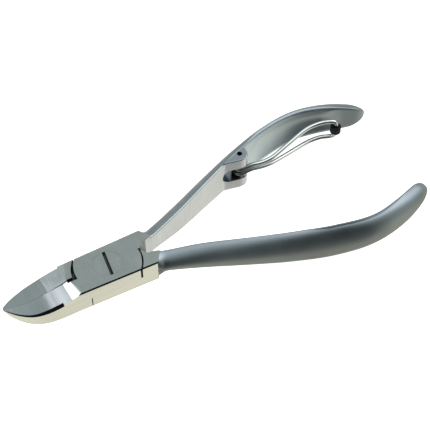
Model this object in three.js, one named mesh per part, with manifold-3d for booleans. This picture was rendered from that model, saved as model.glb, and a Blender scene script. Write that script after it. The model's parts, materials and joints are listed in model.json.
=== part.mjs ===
// Nail clipper: two levers joined by a lap joint and a pivot screw, leaf-shaped handles,
// and a wire spring that folds away inside the upper handle.
// Millimetres. The origin is on the pivot axis, at the back face of the head.
// +X runs to the handle ends, +Y to the handle that carries the spring, +Z to the slotted screw head.
import * as THREE from 'three';
import { mergeVertices } from 'three/addons/utils/BufferGeometryUtils.js';
import Module from 'manifold-3d';

const wasm = await Module();
wasm.setup();

// Head: two plates, one over the other, between the jaws and the handles
const THICKNESS = 8.2;
const MID = THICKNESS / 2;
const LAP_GAP = 0.3;
const PLATE_RADIUS = 10.1;
const TOP_PLATE_FRONT_RADIUS = 9.7;
const SHOULDER_RADIUS = 10.4;
const HEAD_FRONT_X = -12;
const HEAD_FRONT_HALF = 6.16;
const HEAD_REAR_X = 12.75;
const HEAD_REAR_HALF = 6.7;
const REAR_BLOCK_X = 5;
// Inner edge of the block behind each plate, in plan: its notch, then its slanted rear end
const REAR_BLOCK_EDGE = [
  [REAR_BLOCK_X, 1.2],
  [10.6, 0.5],
  [11.4, 1.7],
  [12.1, 2.2],
  [13.15, 2.2],
  [14.55, 2.65],
  [15.3, 2.95],
];
const HANDLE_ROOT_X = 12;

// Jaws: a hollow-ground face with a bevel along its outer edge
const TIP_X = -32.45;
const JAW_ROOT_X = -7;
const JAW_STEPS = 26;
const CUT_GAP = 0.3;
const ROOT_SLOT_LOW = -0.85;
const ROOT_SLOT_HIGH = 0.32;
const ROOT_SLOT_END_X = -12.9;
const BACK_RELIEF = 0.9;
const RELIEF_SHARE = 0.6;
const LEAST_SIDE = 0.25;
const LEAST_FACE = 0.05;
const FACE_FALL = 0.055;
// x, half width, depth of the face below the head's top, bevel width, bevel drop, rise of the back
const JAW_STATIONS = [
  [JAW_ROOT_X, 6.27, -1.1, 0.15, 0.15, 0],
  [-12.5, 6.16, 0.1, 0.2, 0.2, 0],
  [-15, 6.2, 0.95, 0.6, 0.6, 0],
  [-18.3, 6.1, 1.61, 0.85, 0.85, 0],
  [-21.4, 5.8, 2.16, 0.75, 0.8, 0.1],
  [-24.5, 5.2, 2.42, 0.55, 0.62, 0.8],
  [-27, 4.25, 2.25, 0.42, 0.48, 1.8],
  [-29.5, 2.85, 1.6, 0.33, 0.42, 3.4],
  [-31.4, 1.4, 0.95, 0.3, 0.32, 5.2],
  [TIP_X, 0.35, 0.55, 0.05, 0.3, 6.9],
];

// Handles: x, inner face, width along Z, bulge of the outer side
const HANDLE_STATIONS = [
  [HANDLE_ROOT_X, 2.3, 7.3, 4.2],
  [15, 2.7, 7.3, 4.4],
  [17.5, 3.42, 7.4, 4.25],
  [27, 6.7, 9.6, 4.4],
  [40, 12.2, 11.7, 4.2],
  [52, 17.0, 13.4, 3.95],
  [64, 20.7, 14.4, 3.85],
  [76, 22.3, 13.1, 4.3],
  [87, 19.9, 11.2, 4.9],
  [98.1, 15.6, 6.6, 4.1],
];
const HANDLE_END_X = 98.1;
const HANDLE_STEPS = 42;
const HANDLE_STEP_POWER = 0.8;
const NOSE_X = 93;
const NOSE_END_SHARE = 0.12;
const SLOPE_STEP = 0.5;
const OUTER_SIDES = 12;
const INNER_SIDES = 8;
const HOLLOW_START_X = 54.5;
const HOLLOW_FULL_X = 63;
const HOLLOW_FADE_X = 84;
const HOLLOW_END_X = 91.5;
const HOLLOW_SHARE = 0.36;
const RIM = 0.9;

// Lug for the spring, on the inner side of the +Y handle
const PIN_X = 52.4;
const PIN_Y = 16.4;
const PIN_RADIUS = 0.75;
const PIN_HOLE_RADIUS = 1.05;
const PIN_HALF_LENGTH = 6.2;
const LUG_HALF_HEIGHT = 6.5;
const LUG_START_X = 45.2;
const LUG_SHOULDER_X = 47.2;
const LUG_SHOULDER_STEP = 0.2;
const LUG_END_RADIUS = 2.5;
const LUG_ROOT_DEPTH = 0.6;
const SLOT_HALF_HEIGHT = 2.6;
const SLOT_LEFT_X = 45.6;
const SLOT_REACH = 5;
const POCKET_RADIUS = 2.8;

// Wire spring: an eye round the pin, an arm, the cross wire, and the same back again
const WIRE_RADIUS = 0.7;
const WIRE_SIDES = 8;
const EYE_RADIUS = 1.75;
const EYE_WRAP = THREE.MathUtils.degToRad(250);
const EYE_LEAVES_AT = THREE.MathUtils.degToRad(-97);
const EYE_STEPS = 12;
const EYE_HALF_SPACING = 1.0;
const LOOP_HALF_SPACING = 3.45;
const SPREAD_START_X = 58;
const SPREAD_END_X = 79;
const ARM_SHAPE = [
  [55.8, 14.7],
  [59.1, 14.1],
  [62.2, 14.05],
  [63.8, 14.3],
  [69, 15.6],
  [75.4, 17.25],
  [77, 17.55],
  [78.9, 17.75],
  [82.5, 17.55],
];
const LOOP_X = 87;
const LOOP_Y = 15.8;
const LOOP_CORNER = 1.4;
const WIRE_STEPS = 74;

const ROLLER_RADIUS = 1.75;
const ROLLER_BORE_RADIUS = 1.05;
const ROLLER_HALF_HEIGHT = 1.4;
const ROLLER_SIDES = 24;

// Pivot screw: a flush slotted head in the top plate, its shank through the bottom plate
const SCREW_HEAD_RADIUS = 4.2;
const SCREW_HEAD_Z = 5.9;
const SCREW_SHANK_RADIUS = 2.4;
const SCREW_GAP = 0.3;
const SCREW_SLOT_WIDTH = 0.9;
const SCREW_SLOT_DEPTH = 1.1;
const SCREW_SLOT_TURN = THREE.MathUtils.degToRad(-7);

const ROUND_SIDES = 40;
const OVERSHOOT = 2;

// A closed geometry as a solid that can be joined and cut
function solidOf(geometry) {
  const bare = geometry.index ? geometry.toNonIndexed() : geometry;
  bare.deleteAttribute('normal');
  bare.deleteAttribute('uv');
  const merged = mergeVertices(bare, 1e-4);
  return new wasm.Manifold(new wasm.Mesh({
    numProp: 3,
    vertProperties: Float32Array.from(merged.attributes.position.array),
    triVerts: Uint32Array.from(merged.index.array),
  }));
}

function geometryOf(solid) {
  const mesh = solid.getMesh();
  const geometry = new THREE.BufferGeometry();
  geometry.setAttribute('position', new THREE.BufferAttribute(mesh.vertProperties, mesh.numProp));
  geometry.setIndex(new THREE.BufferAttribute(mesh.triVerts, 1));
  return geometry;
}

function namedMesh(name, geometry, color, roughness, metalness) {
  const material = new THREE.MeshStandardMaterial({ color, roughness, metalness });
  const mesh = new THREE.Mesh(geometry, material);
  mesh.name = name;
  return mesh;
}

// A flat outline between two heights
function slab(shape, low, high) {
  const geometry = new THREE.ExtrudeGeometry(shape, {
    depth: high - low,
    bevelEnabled: false,
    curveSegments: ROUND_SIDES / 2,
  });
  return geometry.translate(0, 0, low);
}

function polygon(points) {
  return new THREE.Shape(points.map(([x, y]) => new THREE.Vector2(x, y)));
}

// An upright cylinder between two heights
function column(radius, low, high, x = 0, y = 0) {
  const geometry = new THREE.CylinderGeometry(radius, radius, high - low, ROUND_SIDES);
  return geometry.rotateX(Math.PI / 2).translate(x, y, (low + high) / 2);
}

// The same shape on the other side of the plane y = 0
function mirrored(geometry) {
  const copy = geometry.clone().scale(1, -1, 1);
  const index = copy.index.array;
  for (let i = 0; i < index.length; i += 3) {
    [index[i], index[i + 1]] = [index[i + 1], index[i]];
  }
  return copy;
}

// A closed skin over rings of [x, y, z] that run towards +X, each counter-clockwise seen from +X
function loft(rings) {
  const count = rings[0].length;
  const positions = rings.flat(2);
  const index = [];
  for (let ring = 0; ring + 1 < rings.length; ring += 1) {
    for (let side = 0; side < count; side += 1) {
      const a = ring * count + side;
      const b = ring * count + (side + 1) % count;
      index.push(a, b, b + count, a, b + count, a + count);
    }
  }
  const capEnds = [[0, true], [rings.length - 1, false]];
  for (const [ring, backwards] of capEnds) {
    const middle = positions.length / 3;
    for (let axis = 0; axis < 3; axis += 1) {
      positions.push(rings[ring].reduce((sum, point) => sum + point[axis], 0) / count);
    }
    for (let side = 0; side < count; side += 1) {
      const a = ring * count + side;
      const b = ring * count + (side + 1) % count;
      index.push(middle, backwards ? b : a, backwards ? a : b);
    }
  }
  const geometry = new THREE.BufferGeometry();
  geometry.setAttribute('position', new THREE.Float32BufferAttribute(positions, 3));
  geometry.setIndex(index);
  return geometry;
}

// One column of a station table at x, by a cubic that passes through every station
function along(stations, column_, x) {
  const rows = stations[0][0] < stations[1][0] ? stations : [...stations].reverse();
  const slope = (i, j) => (rows[j][column_] - rows[i][column_]) / (rows[j][0] - rows[i][0]);
  const last = rows.length - 1;
  let i = 0;
  while (i < last - 1 && x > rows[i + 1][0]) {
    i += 1;
  }
  const span = rows[i + 1][0] - rows[i][0];
  const startSlope = i > 0 ? slope(i - 1, i + 1) : slope(0, 1);
  const endSlope = i + 1 < last ? slope(i, i + 2) : slope(i, i + 1);
  const t = (x - rows[i][0]) / span;
  const t2 = t * t;
  const t3 = t2 * t;
  return (2 * t3 - 3 * t2 + 1) * rows[i][column_]
    + (t3 - 2 * t2 + t) * span * startSlope
    + (3 * t2 - 2 * t3) * rows[i + 1][column_]
    + (t3 - t2) * span * endSlope;
}

// One section of the handle, square to its centre line: a D with its flat side inwards
function handleRing(x) {
  const inner = along(HANDLE_STATIONS, 1, x);
  const half = along(HANDLE_STATIONS, 2, x) / 2;
  const bulge = along(HANDLE_STATIONS, 3, x);
  const started = THREE.MathUtils.smoothstep(x, HOLLOW_START_X, HOLLOW_FULL_X);
  const faded = 1 - THREE.MathUtils.smoothstep(x, HOLLOW_FADE_X, HOLLOW_END_X);
  const depth = HOLLOW_SHARE * bulge * started * faded;
  const rim = Math.min(RIM, half / 3);
  // Across the section: distance out from the inner face, and height
  const section = [];
  for (let k = 0; k <= OUTER_SIDES; k += 1) {
    const turn = Math.PI * k / OUTER_SIDES;
    section.push([bulge * Math.sin(turn), -half * Math.cos(turn)]);
  }
  for (let k = 0; k <= INNER_SIDES; k += 1) {
    const turn = Math.PI * k / INNER_SIDES;
    section.push([depth * Math.sin(turn) ** 2, (half - rim) * Math.cos(turn)]);
  }
  // The end is rounded: each section there shrinks about its own middle
  const run = Math.max(0, (x - NOSE_X) / (HANDLE_END_X - NOSE_X));
  const share = Math.max(NOSE_END_SHARE, Math.sqrt(1 - run * run));
  const slope = along(HANDLE_STATIONS, 1, x + SLOPE_STEP) - along(HANDLE_STATIONS, 1, x - SLOPE_STEP);
  const lean = Math.atan2(slope, 2 * SLOPE_STEP);
  return section.map(([out, rise]) => {
    const shrunk = bulge / 2 + (out - bulge / 2) * share;
    return [x - shrunk * Math.sin(lean), inner + shrunk * Math.cos(lean), MID + rise * share];
  });
}

// The handle on the +Y side
function handle() {
  const rings = [];
  for (let step = 0; step <= HANDLE_STEPS; step += 1) {
    // Steps shorten towards the rounded end
    const share = Math.sin(Math.PI / 2 * step / HANDLE_STEPS) ** HANDLE_STEP_POWER;
    rings.push(handleRing(HANDLE_ROOT_X + (HANDLE_END_X - HANDLE_ROOT_X) * share));
  }
  return loft(rings);
}

// The jaw on the +Y side; its root edge towards the other jaw lies at rootY
function jaw(rootY) {
  const rings = [];
  for (let step = 0; step <= JAW_STEPS; step += 1) {
    const x = TIP_X + (JAW_ROOT_X - TIP_X) * (step / JAW_STEPS);
    const half = along(JAW_STATIONS, 1, x);
    const depth = along(JAW_STATIONS, 2, x);
    const faceAt = (outward) => THICKNESS - Math.max(0, depth + FACE_FALL * outward);
    const bevelWidth = along(JAW_STATIONS, 3, x);
    const bevelDrop = along(JAW_STATIONS, 4, x);
    const back = Math.max(0, along(JAW_STATIONS, 5, x));
    const edge = x > ROOT_SLOT_END_X ? rootY : CUT_GAP / 2;
    const relief = Math.min(edge + BACK_RELIEF, half * RELIEF_SHARE);
    const shoulder = Math.max(half - bevelWidth, edge + LEAST_FACE);
    const side = Math.max(faceAt(shoulder) - bevelDrop, back + LEAST_SIDE);
    rings.push([
      [x, relief, back],
      [x, half, back],
      [x, half, side],
      [x, shoulder, faceAt(shoulder)],
      [x, edge, faceAt(edge)],
    ]);
  }
  return loft(rings);
}

function halfWidthAt(x) {
  const run = (x - HEAD_FRONT_X) / (HEAD_REAR_X - HEAD_FRONT_X);
  return HEAD_FRONT_HALF + (HEAD_REAR_HALF - HEAD_FRONT_HALF) * run;
}

// The round plate of a lap joint, cut off flat at the two sides of the head
function lapPlate(low, high, frontRadius) {
  const round = new THREE.Shape();
  round.absarc(0, 0, PLATE_RADIUS, -Math.PI / 2, Math.PI / 2, false);
  round.absarc(0, 0, frontRadius, Math.PI / 2, 3 * Math.PI / 2, false);
  const sides = polygon([
    [HEAD_FRONT_X, -HEAD_FRONT_HALF],
    [HEAD_REAR_X, -HEAD_REAR_HALF],
    [HEAD_REAR_X, HEAD_REAR_HALF],
    [HEAD_FRONT_X, HEAD_FRONT_HALF],
  ]);
  const trim = solidOf(slab(sides, low - OVERSHOOT, high + OVERSHOOT));
  return solidOf(slab(round, low, high)).intersect(trim);
}

// The full-thickness block between the plate and the +Y handle, with its slanted rear end
function rearBlock() {
  const outline = polygon([
    ...REAR_BLOCK_EDGE,
    [HEAD_REAR_X, HEAD_REAR_HALF],
    [REAR_BLOCK_X, halfWidthAt(REAR_BLOCK_X)],
  ]);
  return slab(outline, 0, THICKNESS);
}

// Plate, jaw and handle as one solid; the pocket takes the other lever's plate
function leverBlank({ plate, pocket, jawPart, rearPart, grip }) {
  const hole = column(SCREW_SHANK_RADIUS + SCREW_GAP, -OVERSHOOT, THICKNESS + OVERSHOOT);
  return solidOf(jawPart)
    .add(solidOf(rearPart))
    .subtract(solidOf(pocket))
    .add(plate)
    .subtract(solidOf(hole))
    .add(solidOf(grip));
}

// The lug's outline grows out of the handle's inner face and ends in an arc about the pin
function lugBody() {
  const faceY = (x) => along(HANDLE_STATIONS, 1, x) + LUG_ROOT_DEPTH;
  const endX = PIN_X + LUG_END_RADIUS;
  const shape = new THREE.Shape();
  shape.moveTo(LUG_START_X, faceY(LUG_START_X));
  shape.lineTo(LUG_SHOULDER_X, faceY(LUG_START_X) - LUG_SHOULDER_STEP);
  shape.absarc(PIN_X, PIN_Y, LUG_END_RADIUS, -Math.PI / 2, 0, false);
  shape.lineTo(endX, faceY(endX));
  return slab(shape, MID - LUG_HALF_HEIGHT, MID + LUG_HALF_HEIGHT);
}

// The opening in the lug where the spring's eyes sit and its arms swing
function lugSlot() {
  const low = MID - SLOT_HALF_HEIGHT;
  const high = MID + SLOT_HALF_HEIGHT;
  const right = PIN_X + 2 * POCKET_RADIUS;
  const opening = new THREE.Shape();
  opening.absarc(SLOT_LEFT_X + SLOT_HALF_HEIGHT, MID, SLOT_HALF_HEIGHT, Math.PI / 2, 3 * Math.PI / 2, false);
  opening.lineTo(right, low);
  opening.lineTo(right, high);
  // Drawn in X and Z, so it is turned up from the plan and runs along Y
  const cut = slab(opening, -PIN_Y, SLOT_REACH - PIN_Y).rotateX(Math.PI / 2);
  return solidOf(cut).add(solidOf(column(POCKET_RADIUS, low, high, PIN_X, PIN_Y)));
}

function springLever() {
  const underPlate = MID + LAP_GAP / 2;
  const blank = leverBlank({
    plate: lapPlate(underPlate, THICKNESS, TOP_PLATE_FRONT_RADIUS),
    pocket: column(SHOULDER_RADIUS, -OVERSHOOT, underPlate),
    jawPart: mirrored(jaw(-ROOT_SLOT_LOW)),
    rearPart: rearBlock(),
    grip: handle(),
  });
  const headSeat = column(SCREW_HEAD_RADIUS + SCREW_GAP, SCREW_HEAD_Z - SCREW_GAP, THICKNESS + OVERSHOOT);
  const pinHole = column(PIN_HOLE_RADIUS, -THICKNESS, 2 * THICKNESS, PIN_X, PIN_Y);
  return blank
    .subtract(solidOf(headSeat))
    .add(solidOf(lugBody()))
    .subtract(lugSlot())
    .subtract(solidOf(pinHole));
}

function plainLever() {
  const overPlate = MID - LAP_GAP / 2;
  return leverBlank({
    plate: lapPlate(0, overPlate, PLATE_RADIUS),
    pocket: column(SHOULDER_RADIUS, overPlate, THICKNESS + OVERSHOOT),
    jawPart: jaw(ROOT_SLOT_HIGH),
    rearPart: mirrored(mergeVertices(rearBlock())),
    grip: mirrored(handle()),
  });
}

function pivotScrew() {
  const profile = [
    [0, 0],
    [SCREW_SHANK_RADIUS, 0],
    [SCREW_SHANK_RADIUS, SCREW_HEAD_Z],
    [SCREW_HEAD_RADIUS, SCREW_HEAD_Z],
    [SCREW_HEAD_RADIUS, THICKNESS],
    [0, THICKNESS],
  ].map(([r, z]) => new THREE.Vector2(r, z));
  const turned = new THREE.LatheGeometry(profile, ROUND_SIDES).rotateX(Math.PI / 2);
  const slotLength = 2 * (SCREW_HEAD_RADIUS + OVERSHOOT);
  const slot = new THREE.BoxGeometry(SCREW_SLOT_WIDTH, slotLength, 2 * SCREW_SLOT_DEPTH);
  slot.rotateZ(SCREW_SLOT_TURN).translate(0, 0, THICKNESS);
  return solidOf(turned).subtract(solidOf(slot));
}

// The upper half of the spring's centre line, from the eye's free end to the cross wire
function upperHalfOfWire() {
  const points = [];
  for (let step = 0; step <= EYE_STEPS; step += 1) {
    const turn = EYE_LEAVES_AT - EYE_WRAP * (1 - step / EYE_STEPS);
    const x = PIN_X + EYE_RADIUS * Math.cos(turn);
    const y = PIN_Y + EYE_RADIUS * Math.sin(turn);
    points.push(new THREE.Vector3(x, y, MID + EYE_HALF_SPACING));
  }
  for (const [x, y] of ARM_SHAPE) {
    const spread = THREE.MathUtils.smoothstep(x, SPREAD_START_X, SPREAD_END_X);
    const rise = EYE_HALF_SPACING + (LOOP_HALF_SPACING - EYE_HALF_SPACING) * spread;
    points.push(new THREE.Vector3(x, y, MID + rise));
  }
  const corner = LOOP_HALF_SPACING - LOOP_CORNER;
  points.push(new THREE.Vector3(LOOP_X - LOOP_CORNER, LOOP_Y + 0.7, MID + LOOP_HALF_SPACING));
  points.push(new THREE.Vector3(LOOP_X - 0.29 * LOOP_CORNER, LOOP_Y + 0.2, MID + corner + 0.71 * LOOP_CORNER));
  points.push(new THREE.Vector3(LOOP_X, LOOP_Y, MID + corner));
  return points;
}

function wireSpring() {
  const upper = upperHalfOfWire();
  const lower = upper.map((point) => new THREE.Vector3(point.x, point.y, 2 * MID - point.z)).reverse();
  const path = new THREE.CatmullRomCurve3([...upper, ...lower], false, 'centripetal');
  const section = new THREE.Shape();
  section.absarc(0, 0, WIRE_RADIUS, 0, 2 * Math.PI, false);
  return new THREE.ExtrudeGeometry(section, {
    steps: WIRE_STEPS,
    curveSegments: WIRE_SIDES,
    extrudePath: path,
    bevelEnabled: false,
  });
}

function springRoller() {
  const profile = [
    [ROLLER_BORE_RADIUS, -ROLLER_HALF_HEIGHT],
    [ROLLER_RADIUS, -ROLLER_HALF_HEIGHT],
    [ROLLER_RADIUS, ROLLER_HALF_HEIGHT],
    [ROLLER_BORE_RADIUS, ROLLER_HALF_HEIGHT],
    [ROLLER_BORE_RADIUS, -ROLLER_HALF_HEIGHT],
  ].map(([r, z]) => new THREE.Vector2(r, z));
  return new THREE.LatheGeometry(profile, ROLLER_SIDES).rotateX(Math.PI / 2).translate(LOOP_X, LOOP_Y, MID);
}

const clipper = new THREE.Group();
clipper.add(namedMesh('spring_lever', geometryOf(springLever()), 0x9ba2a6, 0.3, 1));
clipper.add(namedMesh('plain_lever', geometryOf(plainLever()), 0x9aa3aa, 0.32, 1));
clipper.add(namedMesh('pivot_screw', geometryOf(pivotScrew()), 0x8f9698, 0.3, 1));
const pin = column(PIN_RADIUS, MID - PIN_HALF_LENGTH, MID + PIN_HALF_LENGTH, PIN_X, PIN_Y);
clipper.add(namedMesh('spring_pin', pin, 0x6f7476, 0.4, 1));
clipper.add(namedMesh('wire_spring', wireSpring(), 0xc4c8c8, 0.15, 1));
clipper.add(namedMesh('spring_roller', springRoller(), 0x0c0c0d, 0.6, 0));

export default clipper;
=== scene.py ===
"""Looks of the nail clipper: two lap-jointed levers, pivot screw, spring pin, wire spring and roller.

Shapes are worked out in millimetres in the part's own frame and become metres in new_mesh().
+X runs from the pivot to the handle ends, +Y to the handle that carries the spring, +Z up.
"""

import json
import math

import bmesh
import bpy
import numpy as np
from mathutils import Matrix, Vector


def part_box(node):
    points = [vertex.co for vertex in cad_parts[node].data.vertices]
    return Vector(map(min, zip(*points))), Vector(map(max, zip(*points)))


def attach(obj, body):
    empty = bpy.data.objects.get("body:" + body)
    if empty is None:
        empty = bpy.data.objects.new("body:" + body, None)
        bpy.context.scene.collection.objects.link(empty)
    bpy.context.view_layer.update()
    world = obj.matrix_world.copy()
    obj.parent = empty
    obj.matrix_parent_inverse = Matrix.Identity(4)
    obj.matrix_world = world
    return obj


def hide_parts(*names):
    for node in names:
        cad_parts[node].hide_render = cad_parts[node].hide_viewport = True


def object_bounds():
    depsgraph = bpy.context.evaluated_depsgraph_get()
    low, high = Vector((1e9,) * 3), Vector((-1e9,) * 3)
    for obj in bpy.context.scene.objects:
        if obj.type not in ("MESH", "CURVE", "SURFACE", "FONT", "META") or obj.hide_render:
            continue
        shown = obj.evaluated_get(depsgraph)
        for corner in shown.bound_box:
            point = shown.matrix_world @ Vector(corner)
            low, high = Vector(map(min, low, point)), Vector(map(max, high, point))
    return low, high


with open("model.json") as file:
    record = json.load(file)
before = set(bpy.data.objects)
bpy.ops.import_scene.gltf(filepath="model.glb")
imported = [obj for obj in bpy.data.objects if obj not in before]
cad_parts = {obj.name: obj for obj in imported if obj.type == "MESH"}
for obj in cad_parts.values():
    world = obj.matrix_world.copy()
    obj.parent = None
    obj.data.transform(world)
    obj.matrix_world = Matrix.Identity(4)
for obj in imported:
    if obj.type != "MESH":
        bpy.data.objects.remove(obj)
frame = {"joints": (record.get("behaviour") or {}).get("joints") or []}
cad_low, cad_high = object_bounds()

MM = 0.001

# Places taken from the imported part, in millimetres
AXES = {joint["name"]: Vector(joint["pos_m"]) / MM for joint in frame["joints"]}
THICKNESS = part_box("pivot_screw")[1].z / MM
MID = THICKNESS / 2
TIP_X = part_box("spring_lever")[0].x / MM
PIN_X, PIN_Y, _ = AXES["spring_swing"]
LOOP_X, LOOP_Y, _ = AXES["roller_spin"]

# Head
LAP_HALF_GAP = 0.01
PLATE_RADIUS = 10.1
# Rear half, front half
TOP_PLATE_RADII = (9.86, 9.9)
SHOULDER_RADIUS = 10.35
# Radius, x and y of its middle
FRONT_POCKET = (10.25, -0.85, -1.0)
ROUND_SIDES = 96
POCKET_SIDES = 180
HEAD_FRONT_X = -12.0
HEAD_FRONT_HALF = 6.16
HEAD_REAR_X = 12.75
HEAD_REAR_HALF = 6.7
TOP_CHAMFER = 0.38
BACK_EDGE = 0.4
BLOCK_END_X = 15.3
REAR_BLOCK_START_X = 5.0
# Inner edge of the block behind each plate: x, distance from the middle
REAR_BLOCK_EDGE = [
    (REAR_BLOCK_START_X, 1.2),
    (10.6, 0.5),
    (11.4, 1.7),
    (12.1, 2.2),
    (13.15, 2.2),
    (14.55, 2.65),
    (BLOCK_END_X, 2.95),
]

# Jaws
CUT_HALF_GAP = 0.025
# The two sides, in Y, of the slot that starts behind the cutting edges
RELIEF_SLOT = (-0.85, 0.32)
RELIEF_SLOT_END_X = -12.95
RELIEF_SLOT_LEAD = 0.25
JAW_BLOCK_END_X = -4.0
# x, half width, depth of the hollow below the head's top, bevel width, bevel drop, rise of the back
JAW_STATIONS = [
    (-7.0, 6.27, -0.65, 0.8, 0.8, 0.0),
    (-12.5, 6.16, 0.45, 0.8, 0.8, 0.0),
    (-15.0, 6.2, 0.95, 0.8, 0.8, 0.0),
    (-18.3, 6.1, 1.61, 0.85, 0.85, 0.0),
    (-21.4, 5.8, 2.16, 0.75, 0.8, 0.1),
    (-24.5, 5.2, 2.42, 0.55, 0.62, 0.8),
    (-27.0, 4.25, 2.25, 0.42, 0.48, 1.8),
    (-29.5, 2.85, 1.6, 0.33, 0.42, 3.4),
    (-31.4, 1.4, 0.95, 0.3, 0.32, 5.2),
    (-32.45, 0.35, 0.55, 0.12, 0.15, 6.9),
]
LEAST_HALF_WIDTH = 0.3
# How far the hollow face drops per millimetre away from the middle
FACE_FALL = 0.055
BACK_RELIEF = 0.9
EDGE_LAND = 0.5
LEAST_LAND = 0.2
HOLLOW_FACE_END_X = -6.9
HOLLOW_FACE_HALF = 10.0
JAW_STEP = 0.25
HEAD_STEP = 2.0
# How far a cutter reaches past what it cuts
OVERCUT = 1.0
# Three points on each flat between the head's top and the hollow face
NEAR_FACET = [(-12.14, -0.69, THICKNESS), (-11.16, -6.05, THICKNESS), (-14.0, -6.2, THICKNESS - 1.2)]
FAR_FACET = [(-12.93, 0.28, THICKNESS), (-11.86, 6.39, THICKNESS), (-14.5, 6.0, THICKNESS - 0.75)]
# Where each jaw's outer bevel starts, and its share of the bevel in the table
NEAR_BEVEL = (-16.5, 1.0)
FAR_BEVEL = (-13.2, 0.3)

# Handles: x, inner face, width along Z, bulge of the outer side
HANDLE_STATIONS = [
    (12.0, 2.3, 7.3, 4.2),
    (15.0, 2.7, 7.3, 4.4),
    (17.5, 3.42, 7.4, 4.25),
    (27.0, 6.7, 9.6, 4.4),
    (40.0, 12.2, 11.7, 4.2),
    (52.0, 17.0, 13.4, 3.95),
    (64.0, 20.7, 14.39, 3.85),
    (76.0, 22.3, 13.1, 4.28),
    (87.0, 19.9, 11.2, 4.9),
    (98.1, 15.6, 6.6, 4.1),
]
HANDLE_START_X = 11.2
HANDLE_END_X = 98.1
NOSE_X = 93.0
NOSE_END_SHARE = 0.03
HOLLOW_START_X = 54.5
HOLLOW_FULL_X = 63.0
HOLLOW_FADE_X = 84.0
HOLLOW_END_X = 91.5
HOLLOW_SHARE = 0.36
RIM = 0.9
INNER_EDGE = 0.42
# Added to the rim and to its edge where the handle is hollow
SOFT_EDGE = 0.5
EDGE_TURNS = [math.pi / 2 * k / 5 for k in range(6)]
OUTER_SIDES = 48
INNER_SIDES = 24
HANDLE_FINE_END_X = 15.5
HANDLE_FINE_STEP = 0.2
HANDLE_STEP = 0.6
NOSE_STEPS = 26
ROOT_MORPH_START_X = 12.6
ROOT_MORPH_END_X = 16.5
ROOT_SWELL = 0.42
ROOT_SQUARENESS = 1.5

# Lug on the inner side of the handle that carries the spring, and its pin
LUG_START_X = 45.2
LUG_SHOULDER_X = 47.2
LUG_SHOULDER_STEP = 0.2
LUG_HALF_HEIGHT = 6.5
LUG_END_RADIUS = 2.5
LUG_ROOT_DEPTH = 0.6
LUG_EDGE = 0.35
LUG_SLOT_HALF = 2.6
LUG_SLOT_LEFT_X = 45.6
LUG_SLOT_REACH = 5.0
LUG_POCKET_RADIUS = 2.8
PIN_HOLE_RADIUS = 0.82
PIN_RADIUS = 0.78
PIN_EDGE = 0.15
PIN_SIDES = 40
PIN_RECESSED_HALF = 3.4

# Wire spring
WIRE_RADIUS = 0.7
EYE_RADIUS = 1.75
EYE_WRAP = math.radians(250)
EYE_LEAVES_AT = math.radians(-97)
EYE_HALF_SPACING = 1.0
LOOP_HALF_SPACING = 3.45
SPREAD_START_X = 58.0
SPREAD_END_X = 79.0
LOOP_CORNER = 1.4
LOOP_BEND_SHARE = 0.29
LOOP_ENTRY_RISE = 0.7
LOOP_BEND_RISE = 0.2
EYE_STEPS = 12
WIRE_STEPS = 12
WIRE_SIDES = 28
WIRE_END_SHARE = 0.3
WIRE_SHARP_DEGREES = 60
# x and y along the arm, from the lug to the loop
ARM_SHAPE = [
    (55.8, 14.7),
    (59.1, 14.1),
    (62.2, 14.05),
    (63.8, 14.3),
    (69.0, 15.6),
    (75.4, 17.25),
    (77.0, 17.55),
    (78.9, 17.75),
    (82.5, 17.55),
]

# Roller
ROLLER_RADIUS = 1.75
ROLLER_HALF_HEIGHT = 1.4
ROLLER_CLEARANCE = 0.12
ROLLER_BORE_CHAMFER = 0.15
ROLLER_FLAT_SHARE = 0.7
ROLLER_WAIST = 0.1
ROLLER_CORNER_DEPTH = 0.35
ROLLER_CORNER_SINK = 0.02
ROLLER_STEPS = 8
ROLLER_SIDES = 64
ROLLER_SHARP_DEGREES = 50

# Screw
SCREW_HEAD_RADIUS = 4.2
SCREW_HEAD_Z = 5.9
SCREW_SHANK_RADIUS = 2.4
SCREW_GAP = 0.015
SCREW_SLOT_WIDTH = 0.95
SCREW_SLOT_DEPTH = 1.1
SCREW_SLOT_TURN = math.radians(-7)
SCREW_HEAD_EDGE = 0.02
SCREW_END_EDGE = 0.2
# Below this depth under its top, the screw gets painted shade
SCREW_UNSHADED_DEPTH = 0.08

# A length that reaches past every piece, and a radius small enough to stand for an axis
FAR = 40.0
AXIS_RADIUS = 0.001


# ---------------------------------------------------------------- small maths

def smoothstep(x, low, high):
    """Rises smoothly from 0 at low to 1 at high."""
    t = min(1.0, max(0.0, (x - low) / (high - low)))
    return t * t * (3 - 2 * t)


def along(stations, column, x):
    """One column of a station table at x, by a cubic through every station."""
    rows = sorted(stations)
    last = len(rows) - 1
    i = 0
    while i < last - 1 and x > rows[i + 1][0]:
        i += 1

    def slope(a, b):
        return (rows[b][column] - rows[a][column]) / (rows[b][0] - rows[a][0])

    span = rows[i + 1][0] - rows[i][0]
    start = slope(i - 1, i + 1) if i > 0 else slope(0, 1)
    end = slope(i, i + 2) if i + 1 < last else slope(i, i + 1)
    t = (x - rows[i][0]) / span
    return (
        (2 * t**3 - 3 * t**2 + 1) * rows[i][column]
        + (t**3 - 2 * t**2 + t) * span * start
        + (3 * t**2 - 2 * t**3) * rows[i + 1][column]
        + (t**3 - t**2) * span * end
    )


def arc(cx, cy, radius, start, end, steps):
    """Points on an arc, angles in degrees."""
    turns = [math.radians(start + (end - start) * k / steps) for k in range(steps + 1)]
    return [(cx + radius * math.cos(t), cy + radius * math.sin(t)) for t in turns]


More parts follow.
